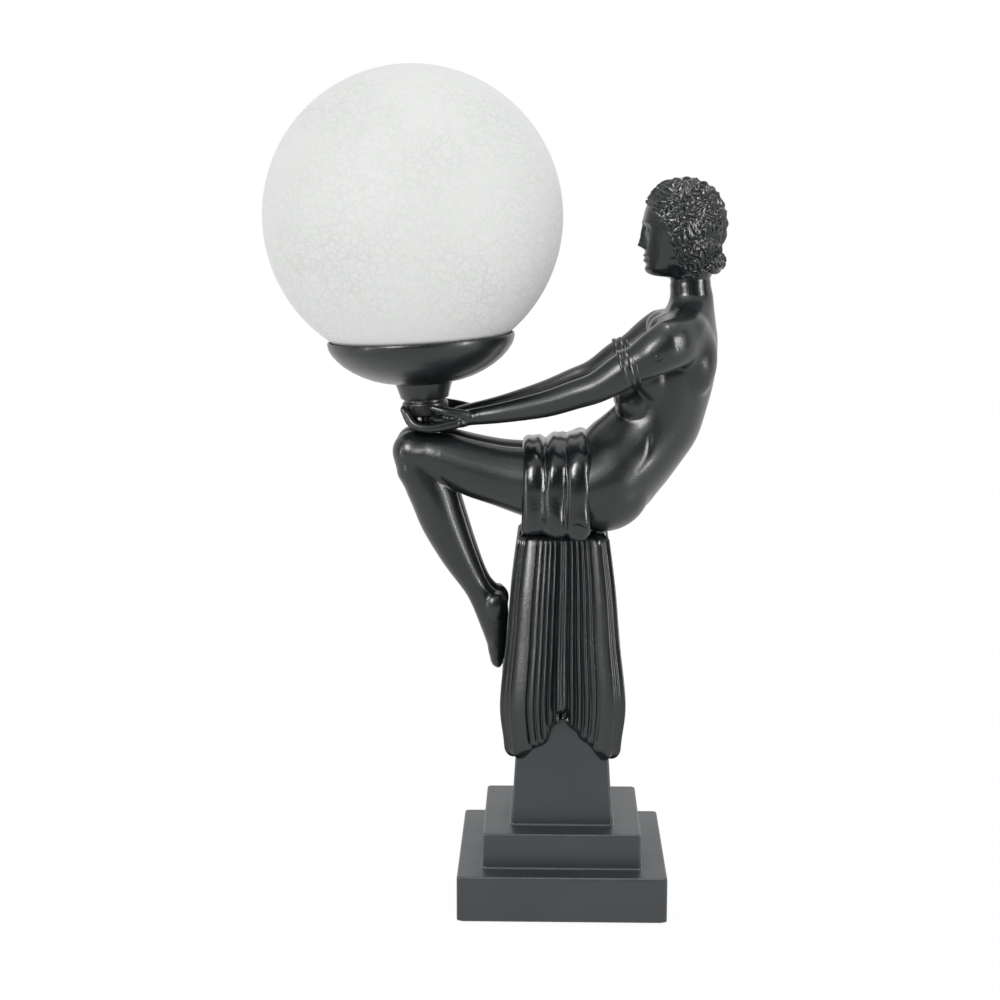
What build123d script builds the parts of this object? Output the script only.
"""Figural table lamp: a seated cast figure holds a bowl with a glass globe.

Units are millimetres. The origin is the centre of the base's underside, +Z is up,
the figure looks along -X, and its left side is -Y. The lamp comes apart into a
stepped base, a draped column, the figure's castings, the globe holder, the
lampholder, the bulb and the globe.
"""

from build123d import *
from math import acos, atan, cos, pi, radians, sin, sqrt
import os

# ---------------------------------------------------------------- driving sizes
FIT = 0.1  # running and seating clearance of threads, dowels and sockets

# Stepped base and plinth
BASE_SIDE, BASE_TOP = 126.0, 28.8
STEP_SIDE, STEP_TOP = 95.5, 50.5
PLINTH_FOOT, PLINTH_HEAD, PLINTH_TOP = 61.7, 51.0, 140.0
EDGE_BEVEL = 1.2
FELT_THICK, FELT_INSET = 1.2, 3.0
CAVITY_SIDE, CAVITY_DEPTH = 84.0, 18.0

# Draped column: each section is a height and the cloth's half width
DRAPE_SECTIONS = ((90.0, 31.5), (108.0, 36.0), (128.0, 38.0), (160.0, 34.5), (230.0, 26.5))
DRAPE_TOP = DRAPE_SECTIONS[-1][0]
DRAPE_SQUARENESS = 9.0
PLEATS_PER_SIDE, PLEAT_DEPTH = 10, 1.5
HEM_APEX, HEM_CORNER, HEM_REACH = 116.0, 93.0, 33.0

# Threaded tubes, nuts and bushes, M10 x 1
TUBE_RADIUS, TUBE_BORE, TUBE_SIDES = 5.0, 3.9, 16
TUBE_CLEAR = TUBE_RADIUS + FIT
TIE_BOTTOM, TIE_TOP = 12.6, 244.0
BUSH_RADIUS, BUSH_LENGTH = 8.0, 10.0
NUT_FLATS, NUT_THICK = 14.0, 4.0
WASHER_RADIUS, WASHER_THICK = 14.0, 1.6

# Lead inside the lamp, in the middle plane
LEAD_DIAMETER, CHANNEL_DIAMETER, LEAD_BEND = 5.0, 6.4, 5.0
LEAD_HEAD, LEAD_KNEE, LEAD_THIGH, LEAD_HIP, LEAD_FOOT = 33.0, -25.5, (-40.0, 265.5), 258.5, 6.5
LEAD_SIDES = 8

# Terminal block in the base
BLOCK_LENGTH, BLOCK_WIDTH, BLOCK_HEIGHT, BLOCK_X = 14.0, 16.0, 15.0, 24.0
BLOCK_SCREW_RADIUS, BLOCK_SCREW_PITCH, BLOCK_SCREW_HEIGHT = 2.0, 8.0, 1.5

# Cord inlet in the back of the base
INLET_Z, INLET_BORE, INLET_RADIUS = 11.0, 3.5, 6.0
INLET_FLANGE_RADIUS, INLET_FLANGE = 8.5, 2.0

# Figure: where its castings meet, and the tenons, pins and dowels that join them
HIP_JOINT_X = -4.0
NECK_JOINT_Z = 372.0
ARM_JOINT = (41.6, 40.5, 334.6)
ARM_LEAN, ARM_HALF_WIDTH, ARM_HALF_DEPTH = 15.0, 10.8, 11.6
ARMLET_LENGTH = 9.5
ARMLET_PROFILE = (
    (-0.5, 1.0), (-0.42, 1.5), (-0.15, 1.5), (0.0, 0.6), (0.15, 1.5), (0.42, 1.5), (0.5, 1.0),
)
SPIGOT_RADIUS, SPIGOT_LENGTH = 5.0, 20.0
PIN_RADIUS, PIN_PLACE, PIN_HEAD, PIN_LENGTH = 2.0, (54.0, 338.5), 53.0, 15.0
DOWEL_RADIUS, DOWEL_LENGTH = 3.0, 16.0
LEG_DOWEL_PLACE, NECK_DOWEL_X = (18.0, 262.0), 75.0

# Sash round the hips
SASH_FRONT, SASH_BANDS, SASH_BAND = -22.0, 3, 12.0
SASH_HALF_WIDTH, SASH_WIDENING, SASH_TOP = 37.5, 2.0, 289.0
SASH_GROOVE, SASH_GROOVE_HALF, SASH_SQUARENESS, SASH_SIDES = 2.2, 1.6, 3.2, 28

# Globe holder: heights run along its own axis from the collar's foot
HOLDER_FOOT, HOLDER_LEAN = (-83.4, 0.0, 299.0), 3.35
COLLAR_FOOT_RADIUS, COLLAR_FOOT = 14.0, 8.5
COLLAR_NECK_RADIUS, COLLAR_NECK = 12.8, 10.3
COLLAR_WAIST_RADIUS, COLLAR_HEAD_RADIUS, COLLAR_TOP = 14.5, 17.2, 19.8
BOWL_WALL, ROUND_SIDES = 1.6, 32
BOWL_RISE = ((16.5, 0.0), (25.5, 1.6), (37.0, 5.8), (48.0, 12.8), (54.4, 20.0), (56.6, 27.5))
PIPE_FOOT, PIPE_HEAD = -18.0, 31.0

# Lampholder, E27
CAP_NECK_RADIUS, CAP_NECK, CAP_SHOULDER, CAP_LENGTH = 9.0, 4.5, 9.5, 14.5
SOCKET_RADIUS, SOCKET_WALL, SOCKET_LENGTH, SOCKET_LIP = 19.5, 2.0, 36.0, 15.5
INSERT_BELOW, INSERT_ABOVE = 3.4, 5.0
SHELL_WALL, SHELL_LENGTH, THREAD_CLEARANCE = 0.6, 26.0, 0.5
CONTACT_RADIUS, CONTACT_THICK = 3.5, 1.0
HOLDER_SCREW_RADIUS, HOLDER_SCREW_PLACE, HOLDER_SCREW_LENGTH = 1.8, 9.0, 2.2

# Bulb, E27 thread and a 60 mm glass: each glass point is a radius and a height
THREAD_RADIUS, THREAD_DEPTH, THREAD_PITCH, THREAD_TURNS = 13.1, 1.0, 3.63, 5
TIP_LENGTH, TIP_RADIUS, CAP_RIM, CAP_BORE, BULB_SIDES = 4.0, 4.5, 3.5, 11.3, 20
BULB_GAP, GLASS_WALL = 0.3, 1.0
GLASS_PROFILE = (
    (11.2, 14.0), (11.2, 26.0), (14.0, 30.0), (17.5, 39.0), (24.5, 53.0),
    (29.2, 65.0), (30.0, 75.0), (28.2, 87.0), (21.5, 99.0), (11.5, 105.0), (2.0, 106.5),
)

# Globe
GLOBE_RADIUS, GLOBE_WALL, GLOBE_MOUTH, GLOBE_ROWS, GLOBE_GAP = 90.0, 3.0, 45.0, 14, 0.3

os.makedirs("parts", exist_ok=True)

LEAN = radians(HOLDER_LEAN)
HOLDER = Plane(HOLDER_FOOT, x_dir=(cos(LEAN), 0, sin(LEAN)), z_dir=(-sin(LEAN), 0, cos(LEAN)))


def keep(part, label):
    """Label a finished piece and write its STEP file."""
    part.label = label
    export_step(part, f"parts/{label}.step")


def outline(plane, half_x, half_y, angles, squareness=2.0, folds=(0.0,)):
    """Corners of an oval, or of a squarer form; folds repeat round it and draw it in."""
    corners = []
    for place, angle in enumerate(angles):
        reach = (abs(cos(angle)) ** squareness + abs(sin(angle)) ** squareness) ** (-1 / squareness)
        drawn = 1 - folds[place % len(folds)] / max(half_x, half_y)
        corners.append(
            plane.from_local_coords(
                Vector(half_x * reach * cos(angle) * drawn, half_y * reach * sin(angle) * drawn, 0)
            )
        )
    return corners


def even_angles(sides):
    """Angles of the corners of an outline whose first flat faces its x axis."""
    return [2 * pi * (k + 0.5) / sides for k in range(sides)]


def skin(outlines, closed=False):
    """Solid with flat facets between like outlines; closed joins the last to the first."""
    if closed:
        faces = []
        pairs = zip(outlines, [*outlines[1:], outlines[0]])
    else:
        faces = [Face(Wire.make_polygon(end)) for end in (outlines[0], outlines[-1])]
        pairs = zip(outlines, outlines[1:])
    for low, high in pairs:
        for k, corner in enumerate(low):
            after = (k + 1) % len(low)
            faces.append(Face(Wire.make_polygon([corner, low[after], high[after]])))
            faces.append(Face(Wire.make_polygon([corner, high[after], high[k]])))
    return Solid(Shell(faces))


def between(stations, steps=2):
    """The stations with more between them, on a smooth curve through them all."""
    rows = []
    last = len(stations) - 1
    for k in range(last):
        four = (stations[max(k - 1, 0)], stations[k], stations[k + 1], stations[min(k + 2, last)])
        for t in (step / steps for step in range(steps)):
            rows.append([
                (2 * b + (c - a) * t + (2 * a - 5 * b + 4 * c - d) * t**2
                 + (3 * b - a - 3 * c + d) * t**3) / 2
                for a, b, c, d in zip(*four)
            ])
    return [*rows, list(stations[-1])]


def limb_plane(x, y, z, lean):
    """Plane across a limb whose axis leans that many degrees above +X."""
    return Plane((x, y, z), x_dir=(0, 1, 0), z_dir=(cos(radians(lean)), 0, sin(radians(lean))))


def limb(stations, side=1, sides=18):
    """Limb of ovals: a station is x, distance from the middle, z, lean, two half sizes."""
    return skin([
        outline(limb_plane(x, side * y, z, lean), half_width, half_depth, even_angles(sides))
        for x, y, z, lean, half_width, half_depth in stations
    ])


def upright(stations, sides=18):
    """Upright form of level ovals: a station is x, z, half depth and half width."""
    return skin([
        outline(Plane((x, 0, z)), half_depth, half_width, even_angles(sides))
        for x, z, half_depth, half_width in stations
    ])


def rings(profile, sides, plane):
    """Outlines of a round form: a profile point is a radius and a height."""
    return [outline(plane.offset(height), radius, radius, even_angles(sides))
            for radius, height in profile]


def turned(profile, sides=24, plane=None):
    """Ring turned about the holder's axis, from a closed profile of radii and heights."""
    return skin(rings(profile, sides, plane or HOLDER), closed=True)


def rod(plane, radius, length, sides=12):
    """Round bar drawn with flats, from the plane along its normal."""
    return skin(rings(((radius, 0), (radius, length)), sides, plane))


def tube(plane, radius, bore, length):
    """Round tube or washer drawn with flats, from the plane along its normal."""
    profile = ((bore, 0), (radius, 0), (radius, length), (bore, length))
    return turned(profile, TUBE_SIDES, plane)


def square(side, height):
    """Corners of a level square."""
    return outline(Plane.XY.offset(height), side / sqrt(2), side / sqrt(2),
                   [pi / 4 + k * pi / 2 for k in range(4)])


def on_axis(height):
    """Point of the holder's axis, as x and z."""
    point = HOLDER.origin + HOLDER.z_dir * height
    return point.X, point.Z


def lead_along(route, diameter):
    """Round lead along points of the middle plane, with bends between its runs."""
    with BuildPart() as lead:
        with BuildLine() as path:
            FilletPolyline(*[(x, 0, z) for x, z in route], radius=LEAD_BEND)
        with BuildSketch(Plane(path.line @ 0, z_dir=path.line % 0)):
            RegularPolygon(diameter / 2, LEAD_SIDES)
        sweep()
    return lead.part


CAVITY_TOP = FELT_THICK + CAVITY_DEPTH
BLOCK_BOTTOM = CAVITY_TOP - BLOCK_HEIGHT
LEAD_ROUTE = [
    on_axis(LEAD_HEAD), on_axis(LEAD_KNEE), LEAD_THIGH, (0, LEAD_HIP), (0, LEAD_FOOT),
    (BLOCK_X, LEAD_FOOT),
]
CHANNEL_ROUTE = [on_axis(PIPE_FOOT), on_axis(LEAD_KNEE), LEAD_THIGH, (0, LEAD_HIP), (0, TIE_TOP)]
channel = lead_along(CHANNEL_ROUTE, CHANNEL_DIAMETER)

# ---------------------------------------------------------------- base
with BuildPart() as base_felt:
    Box(
        BASE_SIDE - 2 * FELT_INSET, BASE_SIDE - 2 * FELT_INSET, FELT_THICK,
        align=(Align.CENTER, Align.CENTER, Align.MIN),
    )
keep(base_felt.part, "base_felt")

with BuildPart() as stepped_base:
    for side, low, high in ((BASE_SIDE, FELT_THICK, BASE_TOP), (STEP_SIDE, BASE_TOP, STEP_TOP)):
        with BuildSketch(Plane.XY.offset(low)):
            Rectangle(side, side)
        slab = extrude(amount=high - low)
        edges = slab.edges()
        chamfer(edges.filter_by(Axis.Z) + edges.group_by(Axis.Z)[-1], EDGE_BEVEL)
    add(skin([square(PLINTH_FOOT, STEP_TOP), square(PLINTH_HEAD, PLINTH_TOP)]))
    with BuildSketch(Plane.XY.offset(FELT_THICK)):
        Rectangle(CAVITY_SIDE, CAVITY_SIDE)
    extrude(amount=CAVITY_DEPTH, mode=Mode.SUBTRACT)
    with BuildSketch(Plane.XY.offset(CAVITY_TOP)):
        Circle(TUBE_CLEAR)
    extrude(amount=PLINTH_TOP, mode=Mode.SUBTRACT)
    with BuildSketch(Plane.XZ.offset(-CAVITY_SIDE / 2)):
        with Locations((0, INLET_Z)):
            Circle(INLET_RADIUS)
    extrude(amount=-BASE_SIDE, mode=Mode.SUBTRACT)
keep(stepped_base.part, "stepped_base")

with BuildPart() as cord_bush:
    inside_wall = Plane((0, CAVITY_SIDE / 2, INLET_Z), z_dir=(0, 1, 0))
    wall = (BASE_SIDE - CAVITY_SIDE) / 2
    add(rod(inside_wall, INLET_RADIUS, wall, 16))
    add(rod(inside_wall.offset(wall), INLET_FLANGE_RADIUS, INLET_FLANGE, 24))
    with BuildSketch(Plane.XZ.offset(-CAVITY_SIDE / 2)):
        with Locations((0, INLET_Z)):
            Circle(INLET_BORE)
    extrude(amount=-BASE_SIDE, mode=Mode.SUBTRACT)
keep(cord_bush.part, "cord_bush")

with BuildPart() as terminal_block:
    with Locations((BLOCK_X, 0, BLOCK_BOTTOM)):
        Box(BLOCK_LENGTH, BLOCK_WIDTH, BLOCK_HEIGHT, align=(Align.MIN, Align.CENTER, Align.MIN))
keep(terminal_block.part, "terminal_block")

with BuildPart() as terminal_screws:
    for y in (-BLOCK_SCREW_PITCH / 2, BLOCK_SCREW_PITCH / 2):
        place = (BLOCK_X + BLOCK_LENGTH / 2, y, BLOCK_BOTTOM - BLOCK_SCREW_HEIGHT)
        add(rod(Plane(place), BLOCK_SCREW_RADIUS, BLOCK_SCREW_HEIGHT))
keep(terminal_screws.part, "terminal_screws")

# ---------------------------------------------------------------- tie tube and draped column
with BuildPart() as tie_tube:
    add(tube(Plane.XY.offset(TIE_BOTTOM), TUBE_RADIUS, TUBE_BORE, TIE_TOP - TIE_BOTTOM))
keep(tie_tube.part, "tie_tube")

with BuildPart() as tie_washer:
    seat = Plane.XY.offset(CAVITY_TOP - WASHER_THICK)
    add(tube(seat, WASHER_RADIUS, TUBE_CLEAR, WASHER_THICK))
keep(tie_washer.part, "tie_washer")

with BuildPart() as tie_nut:
    with BuildSketch(Plane.XY.offset(CAVITY_TOP - WASHER_THICK)):
        RegularPolygon(NUT_FLATS / 2, 6, major_radius=False)
        RegularPolygon(TUBE_CLEAR, TUBE_SIDES, mode=Mode.SUBTRACT)
    extrude(amount=-NUT_THICK)
keep(tie_nut.part, "tie_nut")

with BuildPart() as seat_bush:
    add(tube(Plane.XY.offset(TIE_TOP - BUSH_LENGTH), BUSH_RADIUS, TUBE_CLEAR, BUSH_LENGTH))
keep(seat_bush.part, "seat_bush")

# Each pleat is a ridge of two corners and a valley of one, evenly spaced along a side.
CORNERS_PER_SIDE = 3 * PLEATS_PER_SIDE
PLEAT_ANGLES = [
    side * pi / 2 + atan(-1 + 2 * k / CORNERS_PER_SIDE)
    for side in range(4) for k in range(CORNERS_PER_SIDE)
]
with BuildPart() as draped_column:
    add(skin([
        outline(Plane.XY.offset(height), half, half, PLEAT_ANGLES, DRAPE_SQUARENESS,
                (0.0, 0.0, PLEAT_DEPTH))
        for height, half in DRAPE_SECTIONS
    ]))
    for face in (Plane.XZ, Plane.YZ):
        with BuildSketch(face):
            with BuildLine():
                Polyline(
                    (-HEM_REACH, HEM_CORNER), (0, HEM_APEX), (HEM_REACH, HEM_CORNER),
                    (BASE_SIDE, HEM_CORNER), (BASE_SIDE, 0), (-BASE_SIDE, 0),
                    (-BASE_SIDE, HEM_CORNER), close=True,
                )
            make_face()
        extrude(amount=BASE_SIDE, both=True, mode=Mode.SUBTRACT)
    socket = [square(PLINTH_FOOT + 2 * FIT, STEP_TOP), square(PLINTH_HEAD + 2 * FIT, PLINTH_TOP)]
    add(skin(socket), mode=Mode.SUBTRACT)
    with BuildSketch(Plane.XY.offset(PLINTH_TOP)):
        Circle(TUBE_CLEAR)
    extrude(amount=DRAPE_TOP, mode=Mode.SUBTRACT)
keep(draped_column.part, "draped_column")

# ---------------------------------------------------------------- figure
TORSO = (
    (HIP_JOINT_X, 0, 260, 0, 36, 24.5), (10.8, 0, 257.2, 19, 40, 28.2),
    (28.4, 0, 264.2, 38, 40, 29.7), (37.4, 0, 273.5, 47, 37, 29.4),
    (46.4, 0, 283.7, 59, 32, 28.5), (55.6, 0, 295, 67, 30, 27.5),
    (61.5, 0, 307.7, 78, 31, 26.1), (66.3, 0, 326.3, 90, 34, 26.3),
    (69.5, 0, 344.8, 90, 35, 23.4), (73.5, 0, 357.5, 92, 25, 17),
    (76, 0, 366, 93, 13, 12.5), (75.5, 0, NECK_JOINT_Z, 90, 11, 11.3),
)
SHOULDER = (
    (*ARM_JOINT, ARM_LEAN, ARM_HALF_WIDTH, ARM_HALF_DEPTH), (51, 41.5, 340, 20, 12, 13.5),
    (62, 40, 346, 15, 13, 15.5), (75, 35, 347, 0, 12.5, 14.5), (86, 27, 344, -10, 8, 9),
)
ARM = (
    (*ARM_JOINT, ARM_LEAN, ARM_HALF_WIDTH, ARM_HALF_DEPTH), (30.5, 39.5, 327.6, 17, 10, 10.9),
    (18.1, 37.5, 319.8, 19, 9, 9.3), (6, 34.5, 315.3, 17, 8.5, 8.6),
    (-11.9, 29, 308.9, 16, 7.8, 7.8), (-36.4, 21, 303, 12, 6.4, 6.3),
    (-54.7, 16.5, 299.8, 8, 5.8, 4.8), (-66, 14, 297.6, 5, 9, 3.9),
    (-80, 13, 296.2, 3, 12, 3.5), (-90, 13, 296.2, -8, 11, 3.2),
    (-94.5, 14, 299.5, -50, 9.5, 2.7), (-95.5, 15, 305.5, -88, 7.5, 2),
)
THIGH = (
    (HIP_JOINT_X, 17.5, 260, 0, 18.5, 24), (-20, 17, 260.5, -5, 18.5, 21),
    (-38, 16, 264.2, -11, 17.5, 18.2), (-56, 15, 268.9, -13, 16.5, 16.8),
    (-74, 14, 275.5, -16, 15, 14.6), (-88, 13.5, 279.3, -22, 13.8, 11.8),
    (-97.5, 13, 278.5, -30, 10, 8.5), (-102.3, 13, 275, -40, 4, 3),
)
CALF = (
    (-92, 13.5, 277, -50, 9, 8), (-86.5, 13.5, 266, -60, 12.5, 12.5),
    (-78.8, 13.5, 252.6, -63, 13.7, 14.1), (-72.8, 13.2, 236.3, -64, 13.2, 13.4),
    (-63.1, 12.3, 214.4, -64, 11, 10.6), (-52.9, 11, 195, -66, 8.6, 8.3),
    (-46.2, 10.5, 187, -80, 7.8, 11.6), (-43.2, 10.3, 176, -85, 7.6, 9),
    (-42.1, 10.3, 167, -86, 8.2, 7.1), (-40.5, 10.2, 157, -87, 8.6, 4.4),
    (-40.2, 10.2, 149, -89, 8, 3.4), (-39.8, 10.2, 144, -90, 6, 2),
)
SIDES = ((-1, "left", Keep.TOP), (1, "right", Keep.BOTTOM))


def spigot(side, clearance=0.0):
    """Round tenon of an arm, from the joint into the shoulder."""
    joint = limb_plane(ARM_JOINT[0], side * ARM_JOINT[1], ARM_JOINT[2], ARM_LEAN)
    return rod(joint, SPIGOT_RADIUS + clearance, SPIGOT_LENGTH + clearance)


def arm_pin(side):
    """Pin that holds an arm's tenon in the shoulder, driven in from outside."""
    head = Plane((PIN_PLACE[0], side * PIN_HEAD, PIN_PLACE[1]), z_dir=(0, -side, 0))
    return rod(head, PIN_RADIUS, PIN_LENGTH)


def leg_dowels():
    """Two dowels along X that join the legs to the hips."""
    with BuildPart() as dowels:
        for side, _, _ in SIDES:
            start = (HIP_JOINT_X - DOWEL_LENGTH / 2, side * LEG_DOWEL_PLACE[0], LEG_DOWEL_PLACE[1])
            add(rod(limb_plane(*start, 0), DOWEL_RADIUS, DOWEL_LENGTH))
    return dowels.part


def neck_dowel():
    """Upright dowel between the neck and the head."""
    start = Plane((NECK_DOWEL_X, 0, NECK_JOINT_Z - DOWEL_LENGTH / 2))
    return rod(start, DOWEL_RADIUS, DOWEL_LENGTH)


with BuildPart() as leg_dowel_pair:
    add(leg_dowels())
keep(leg_dowel_pair.part, "leg_dowels")
with BuildPart() as neck_pin:
    add(neck_dowel())
keep(neck_pin.part, "neck_dowel")
with BuildPart() as arm_pins:
    for side, _, _ in SIDES:
        add(arm_pin(side))
keep(arm_pins.part, "arm_pins")

with BuildPart() as torso:
    add(limb(TORSO, sides=24))
    for side, _, _ in SIDES:
        add(limb(SHOULDER, side))
    split(bisect_by=Plane.XY.offset(DRAPE_TOP), keep=Keep.TOP)
    with BuildSketch(Plane.XY.offset(DRAPE_TOP)):
        Circle(TUBE_CLEAR)
    extrude(amount=TIE_TOP - DRAPE_TOP, mode=Mode.SUBTRACT)
    for side, _, _ in SIDES:
        add(spigot(side, FIT), mode=Mode.SUBTRACT)
    for hidden in (seat_bush.part, arm_pins.part, channel, leg_dowels(), neck_dowel()):
        add(hidden, mode=Mode.SUBTRACT)
    with BuildSketch(Plane.XY.offset(TIE_TOP - BUSH_LENGTH)):
        Circle(TUBE_CLEAR)
    extrude(amount=BUSH_LENGTH, mode=Mode.SUBTRACT)
keep(torso.part, "torso")

for side, name, half in SIDES:
    with BuildPart() as arm:
        add(limb(ARM, side, sides=14))
        add(spigot(side))
        add(arm_pin(side), mode=Mode.SUBTRACT)
        with BuildSketch(HOLDER):
            Circle(COLLAR_FOOT_RADIUS)
        extrude(amount=COLLAR_NECK, mode=Mode.SUBTRACT)
        with BuildSketch(HOLDER.offset(PIPE_FOOT)):
            Circle(TUBE_CLEAR)
        extrude(amount=-PIPE_FOOT, mode=Mode.SUBTRACT)
        split(bisect_by=Plane.XZ, keep=half)
    keep(arm.part, f"{name}_arm")

    with BuildPart() as armlet:
        joint = limb_plane(ARM_JOINT[0], side * ARM_JOINT[1], ARM_JOINT[2], ARM_LEAN)
        add(skin([
            outline(joint.offset(share * ARMLET_LENGTH), ARM_HALF_WIDTH + wall,
                    ARM_HALF_DEPTH + wall, even_angles(14))
            for share, wall in ARMLET_PROFILE
        ]))
        add(arm.part, mode=Mode.SUBTRACT)
        add(torso.part, mode=Mode.SUBTRACT)
        add(spigot(side, FIT), mode=Mode.SUBTRACT)
    keep(armlet.part, f"{name}_armlet")

with BuildPart() as knee_bush:
    add(tube(HOLDER.offset(PIPE_FOOT), BUSH_RADIUS, TUBE_CLEAR, BUSH_LENGTH))
keep(knee_bush.part, "knee_bush")

for side, name, half in SIDES:
    with BuildPart() as leg:
        add(limb(THIGH, side))
        add(limb(CALF, side))
        split(bisect_by=Plane.XZ, keep=half)
        for hidden in (channel, leg_dowels(), knee_bush.part, seat_bush.part):
            add(hidden, mode=Mode.SUBTRACT)
        with BuildSketch(HOLDER.offset(PIPE_FOOT)):
            Circle(TUBE_CLEAR)
        extrude(amount=-PIPE_FOOT, mode=Mode.SUBTRACT)
    keep(leg.part, f"{name}_leg")

with BuildPart() as hip_sash:
    half_height = (SASH_TOP - DRAPE_TOP) / 2
    wraps = []
    for band in range(SASH_BANDS):
        front = SASH_FRONT + band * SASH_BAND
        half = SASH_HALF_WIDTH + band * SASH_WIDENING
        for x, groove in (
            (front, SASH_GROOVE), (front + SASH_GROOVE_HALF, 0.0),
            (front + SASH_BAND - SASH_GROOVE_HALF, 0.0), (front + SASH_BAND, SASH_GROOVE),
        ):
            if not wraps or x > wraps[-1][0]:
                wraps.append((x, half - groove, half_height - groove))
    add(skin([
        outline(limb_plane(x, 0, DRAPE_TOP + half_height, 0), half_width, half_depth,
                even_angles(SASH_SIDES), SASH_SQUARENESS)
        for x, half_width, half_depth in wraps
    ]))
    add(limb(TORSO, sides=24), mode=Mode.SUBTRACT)
    for side, _, _ in SIDES:
        add(limb(THIGH, side), mode=Mode.SUBTRACT)
    for inside in (seat_bush.part, channel):
        add(inside, mode=Mode.SUBTRACT)
    with BuildSketch(Plane.XY.offset(DRAPE_TOP)):
        Circle(TUBE_CLEAR)
    extrude(amount=TIE_TOP - DRAPE_TOP, mode=Mode.SUBTRACT)
keep(hip_sash.part, "hip_sash")

# The head: level ovals for skull and neck, a plain nose, waved hair and a low rolled knot.
SKULL = (
    (75.3, NECK_JOINT_Z, 11.2, 10.8), (73.5, 380, 10.8, 10.4), (66.5, 385, 15, 10.5),
    (66, 389, 17.5, 14), (67.5, 396, 20.5, 17.4), (69, 405, 23, 19.8), (70, 414, 24, 20.8),
    (71, 423, 23.4, 20.4), (71, 431, 19.8, 17.8), (70.5, 437.5, 12.5, 12), (70, 440.5, 1.5, 1.5),
)
HAIR = (
    (81, 386, 8, 11), (81, 391, 13, 17.5), (77.5, 399, 18, 20.8), (75, 407, 21.5, 22.8),
    (73.5, 415, 23.6, 23.6), (72.5, 423, 23.6, 23), (71, 430.5, 20.5, 20), (70, 437, 14, 14),
    (69, 441.5, 2, 2),
)
HAIR_WAVE = 1.4
HAIRLINE = ((47.5, 446.0), (50.0, 428.0), (62.0, 415.0), (66.0, 380.0))
NOSE = ((47.5, 411.0, 1.5, 1.5), (45.0, 404.0, 3.2, 2.8), (46.5, 401.0, 2.5, 2.4))
KNOT_PLACE, KNOT_HALF_LENGTH, KNOT_RADIUS = (88.5, 392.5), 15.0, 7.5
KNOT_SHAPE = ((-1.0, 0.3), (-0.8, 0.7), (-0.4, 0.95), (0.4, 0.95), (0.8, 0.7), (1.0, 0.3))
with BuildPart() as head:
    add(upright([
        (x, z, half_depth - HAIR_WAVE * (place % 2), half_width - HAIR_WAVE * (place % 2))
        for place, (x, z, half_depth, half_width) in enumerate(between(HAIR))
    ]))
    with BuildSketch(Plane.XZ):
        with BuildLine():
            Polyline(*HAIRLINE, (0.0, HAIRLINE[-1][1]), (0.0, HAIRLINE[0][1]), close=True)
        make_face()
    extrude(amount=BASE_SIDE, both=True, mode=Mode.SUBTRACT)
    add(upright(between(SKULL)))
    add(upright(NOSE, sides=8))
    add(skin([
        outline(Plane((KNOT_PLACE[0], reach * KNOT_HALF_LENGTH, KNOT_PLACE[1]), z_dir=(0, 1, 0)),
                share * KNOT_RADIUS, share * KNOT_RADIUS, even_angles(10))
        for reach, share in KNOT_SHAPE
    ]))
    add(neck_dowel(), mode=Mode.SUBTRACT)
keep(head.part, "head")

# ---------------------------------------------------------------- globe holder
with BuildPart() as holder_pipe:
    add(tube(HOLDER.offset(PIPE_FOOT), TUBE_RADIUS, TUBE_BORE, PIPE_HEAD - PIPE_FOOT))
keep(holder_pipe.part, "holder_pipe")

with BuildPart() as collar:
    add(turned((
        (TUBE_CLEAR, 0), (COLLAR_FOOT_RADIUS, 0), (COLLAR_FOOT_RADIUS, COLLAR_FOOT),
        (COLLAR_NECK_RADIUS, COLLAR_FOOT), (COLLAR_NECK_RADIUS, COLLAR_NECK),
        (COLLAR_WAIST_RADIUS, COLLAR_NECK), (COLLAR_HEAD_RADIUS, COLLAR_TOP),
        (TUBE_CLEAR, COLLAR_TOP),
    ), 32))
keep(collar.part, "collar")

BOWL_OUTSIDE = [(radius, COLLAR_TOP + rise) for radius, rise in BOWL_RISE]
BOWL_INSIDE = [(radius - BOWL_WALL, COLLAR_TOP + rise + BOWL_WALL) for radius, rise in BOWL_RISE]
BOWL_FLOOR, BOWL_RIM = BOWL_INSIDE[0][1], BOWL_OUTSIDE[-1][1]
RIM_BORE = BOWL_INSIDE[-1][0]
with BuildPart() as holder_bowl:
    add(turned((
        (TUBE_CLEAR, COLLAR_TOP), *BOWL_OUTSIDE, (RIM_BORE, BOWL_RIM), *reversed(BOWL_INSIDE[:-1]),
        (TUBE_CLEAR, BOWL_FLOOR),
    ), ROUND_SIDES))
keep(holder_bowl.part, "holder_bowl")

with BuildPart() as bowl_nut:
    with BuildSketch(HOLDER.offset(BOWL_FLOOR)):
        RegularPolygon(NUT_FLATS / 2, 6, major_radius=False)
        RegularPolygon(TUBE_CLEAR, TUBE_SIDES, mode=Mode.SUBTRACT)
    extrude(amount=NUT_THICK)
keep(bowl_nut.part, "bowl_nut")

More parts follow.
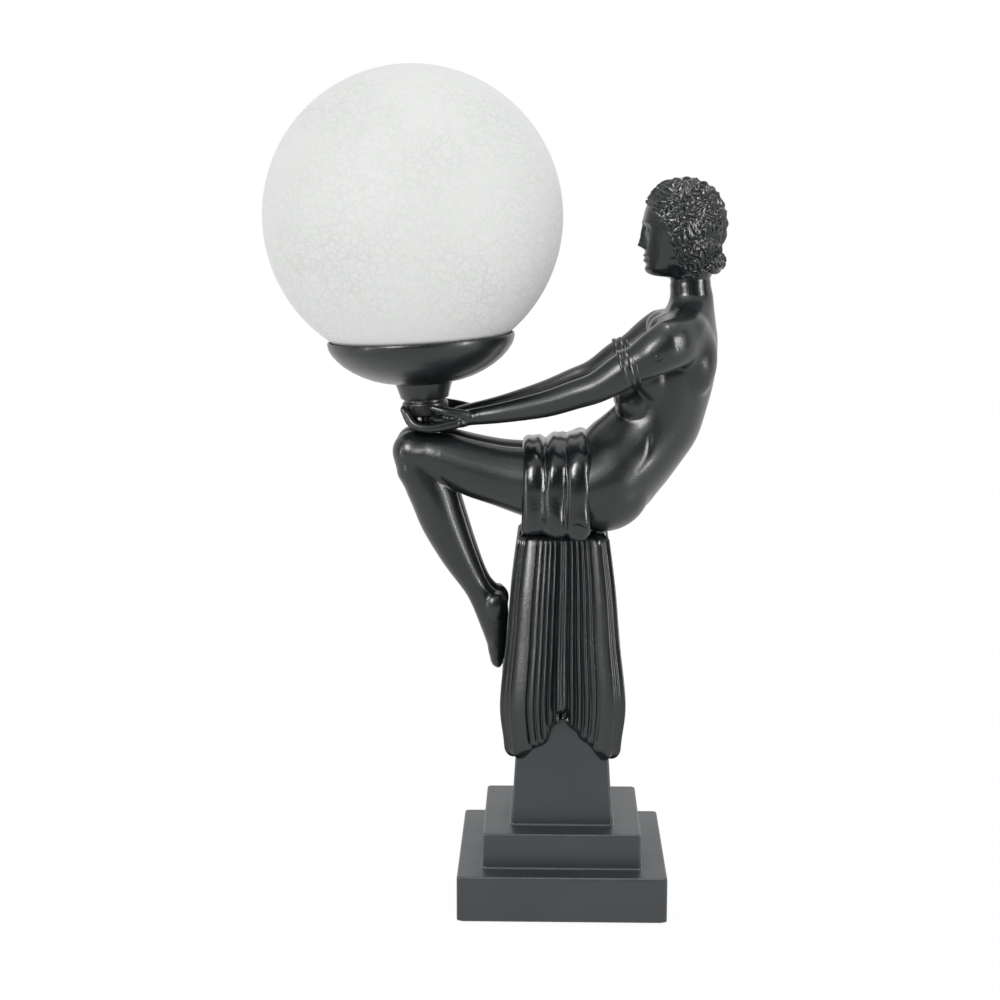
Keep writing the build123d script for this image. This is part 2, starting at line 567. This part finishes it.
# ---------------------------------------------------------------- lampholder
CAP_FOOT = BOWL_FLOOR + NUT_THICK
CAP_HEAD = CAP_FOOT + CAP_LENGTH
SOCKET_BORE = SOCKET_RADIUS - SOCKET_WALL
INSERT_TOP = CAP_HEAD + INSERT_ABOVE
with BuildPart() as lampholder_cap:
    add(turned((
        (TUBE_CLEAR, CAP_FOOT), (CAP_NECK_RADIUS, CAP_FOOT),
        (CAP_NECK_RADIUS, CAP_FOOT + CAP_NECK), (SOCKET_RADIUS, CAP_FOOT + CAP_SHOULDER),
        (SOCKET_RADIUS, CAP_HEAD), (SOCKET_BORE, CAP_HEAD), (SOCKET_BORE, CAP_HEAD - INSERT_BELOW),
        (CAP_NECK_RADIUS - SOCKET_WALL, CAP_FOOT + CAP_NECK + SOCKET_WALL / 2),
        (TUBE_CLEAR, CAP_FOOT + CAP_NECK + SOCKET_WALL / 2),
    )))
keep(lampholder_cap.part, "lampholder_cap")

with BuildPart() as lampholder_insert:
    bottom = CAP_HEAD - INSERT_BELOW
    add(skin(rings(((SOCKET_BORE - FIT, bottom), (SOCKET_BORE - FIT, INSERT_TOP)), 24, HOLDER)))
keep(lampholder_insert.part, "lampholder_insert")

with BuildPart() as lampholder_screws:
    below = HOLDER.offset(CAP_HEAD - INSERT_BELOW - HOLDER_SCREW_LENGTH)
    for side, _, _ in SIDES:
        corner = below.from_local_coords(Vector(0, side * HOLDER_SCREW_PLACE, 0))
        place = Plane(corner, x_dir=HOLDER.x_dir, z_dir=HOLDER.z_dir)
        add(rod(place, HOLDER_SCREW_RADIUS, HOLDER_SCREW_LENGTH, 8))
keep(lampholder_screws.part, "lampholder_screws")

with BuildPart() as lampholder_body:
    mouth = CAP_HEAD + SOCKET_LENGTH
    add(turned((
        (SOCKET_BORE, CAP_HEAD), (SOCKET_RADIUS, CAP_HEAD), (SOCKET_RADIUS, mouth),
        (SOCKET_LIP, mouth), (SOCKET_LIP, mouth - SOCKET_WALL), (SOCKET_BORE, mouth - SOCKET_WALL),
    )))
keep(lampholder_body.part, "lampholder_body")

with BuildPart() as screw_shell:
    bore = THREAD_RADIUS + THREAD_CLEARANCE
    add(turned((
        (bore, INSERT_TOP), (bore + SHELL_WALL, INSERT_TOP),
        (bore + SHELL_WALL, INSERT_TOP + SHELL_LENGTH), (bore, INSERT_TOP + SHELL_LENGTH),
    )))
keep(screw_shell.part, "screw_shell")

with BuildPart() as centre_contact:
    add(rod(HOLDER.offset(INSERT_TOP), CONTACT_RADIUS, CONTACT_THICK))
keep(centre_contact.part, "centre_contact")

keep(lead_along(LEAD_ROUTE, LEAD_DIAMETER), "inner_lead")

# ---------------------------------------------------------------- bulb and globe
BULB_FOOT = HOLDER.offset(INSERT_TOP + CONTACT_THICK + BULB_GAP)
with BuildPart() as bulb_tip:
    tip = ((TIP_RADIUS / 2, 0), (TIP_RADIUS, TIP_LENGTH / 2), (CAP_BORE, TIP_LENGTH))
    add(skin(rings(tip, BULB_SIDES, BULB_FOOT)))
keep(bulb_tip.part, "bulb_tip")

thread = [(THREAD_RADIUS - THREAD_DEPTH, TIP_LENGTH)]
for turn in range(THREAD_TURNS):
    foot = TIP_LENGTH + turn * THREAD_PITCH
    thread.append((THREAD_RADIUS, foot + THREAD_PITCH / 2))
    thread.append((THREAD_RADIUS - THREAD_DEPTH, foot + THREAD_PITCH))
thread.append((THREAD_RADIUS - THREAD_DEPTH, thread[-1][1] + CAP_RIM))
with BuildPart() as bulb_cap:
    rim = (CAP_BORE, thread[-1][1])
    add(turned((*thread, rim, (CAP_BORE, TIP_LENGTH)), BULB_SIDES, BULB_FOOT))
keep(bulb_cap.part, "bulb_cap")

with BuildPart() as bulb_glass:
    add(skin(rings(GLASS_PROFILE, BULB_SIDES, BULB_FOOT)))
    inside = [(radius - GLASS_WALL, height) for radius, height in GLASS_PROFILE[:-1]]
    add(skin(rings(inside, BULB_SIDES, BULB_FOOT)), mode=Mode.SUBTRACT)
keep(bulb_glass.part, "bulb_glass")

# The globe rests on the bowl's inner rim; its flats line up with the bowl's.
GLOBE_CENTRE = BOWL_RIM + sqrt((GLOBE_RADIUS + GLOBE_GAP) ** 2 - RIM_BORE**2)


def globe_profile(radius):
    """Radius and height of each ring of a sphere, from its mouth up to its crown."""
    low = -acos(GLOBE_MOUTH / radius)
    crown = pi / 2 * (1 - 1 / (2 * GLOBE_ROWS))
    angles = [low + (crown - low) * row / GLOBE_ROWS for row in range(GLOBE_ROWS + 1)]
    return [(radius * cos(a), GLOBE_CENTRE + radius * sin(a)) for a in angles]


with BuildPart() as glass_globe:
    outer, inner = globe_profile(GLOBE_RADIUS), globe_profile(GLOBE_RADIUS - GLOBE_WALL)
    mouth = (GLOBE_MOUTH, outer[0][1] - GLOBE_WALL)
    add(skin(rings(outer, ROUND_SIDES, HOLDER)))
    add(skin(rings([mouth, *inner], ROUND_SIDES, HOLDER)), mode=Mode.SUBTRACT)
keep(glass_globe.part, "glass_globe")
